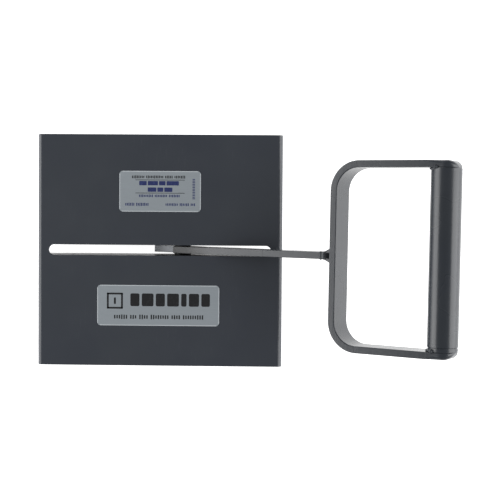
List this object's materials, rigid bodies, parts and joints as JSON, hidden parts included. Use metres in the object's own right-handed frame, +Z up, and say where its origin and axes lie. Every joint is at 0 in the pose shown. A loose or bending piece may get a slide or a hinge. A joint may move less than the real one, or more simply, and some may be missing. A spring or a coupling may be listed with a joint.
{
  "type": "magnetic plate mover",
  "caption": "Slotted flat magnet for gripping and dragging steel sheet, with a pivoting release lever that ends in a D-handle.",
  "frame": {"origin": "centre of the working face, in the middle of the slot, where the part sits on a steel sheet", "axes": "+X along the slot towards the handle, +Y across it, +Z up from the working face through the labelled top"},
  "size_m": [0.3803, 0.216, 0.176],
  "materials": {
    "housing_paint": "semi-gloss charcoal enamel on sheet steel",
    "end_plate_paint": "semi-gloss charcoal enamel on steel bar, working edge bare",
    "lever_paint": "semi-gloss charcoal enamel on bar and tube",
    "pole_steel": "surface-ground mild steel",
    "zinc_steel": "zinc-plated steel",
    "oxide_steel": "black-oxide steel",
    "ferrite": "sintered ferrite, matt",
    "resin": "black potting resin",
    "label_foil": "printed silver foil, satin"
  },
  "bodies": {
    "magnet_base": {"housing": "housing_paint", "label_back": "label_foil", "label_front": "label_foil", "flange_screws_left": "zinc_steel", "flange_screws_right": "zinc_steel", "pivot_pin": "oxide_steel", "cheek_plate_back": "pole_steel", "centre_pole_back": "pole_steel", "end_plate_back": "end_plate_paint", "resin_back": "resin", "pivot_washer_back": "oxide_steel", "magnet_back_inner_1": "ferrite", "magnet_back_inner_2": "ferrite", "magnet_back_outer_1": "ferrite", "magnet_back_outer_2": "ferrite", "cheek_plate_front": "pole_steel", "centre_pole_front": "pole_steel", "end_plate_front": "end_plate_paint", "resin_front": "resin", "pivot_washer_front": "oxide_steel", "magnet_front_inner_1": "ferrite", "magnet_front_inner_2": "ferrite", "magnet_front_outer_1": "ferrite", "magnet_front_outer_2": "ferrite"},
    "lever": {"lever_blade": "lever_paint", "lever_arm": "lever_paint", "splice_weld": "lever_paint", "handle_weld": "lever_paint", "handle_frame": "lever_paint", "grip_tube": "lever_paint", "grip_weld_back": "lever_paint", "grip_weld_front": "lever_paint"}
  },
  "joints": [
    {"name": "lever_pivot", "type": "hinge", "parent": "magnet_base", "child": "lever", "pos_m": [0.019, 0, 0.0319], "axis": [-0.0122, -0.9999, 0], "range_deg": [0, 129.8]}
  ]
}
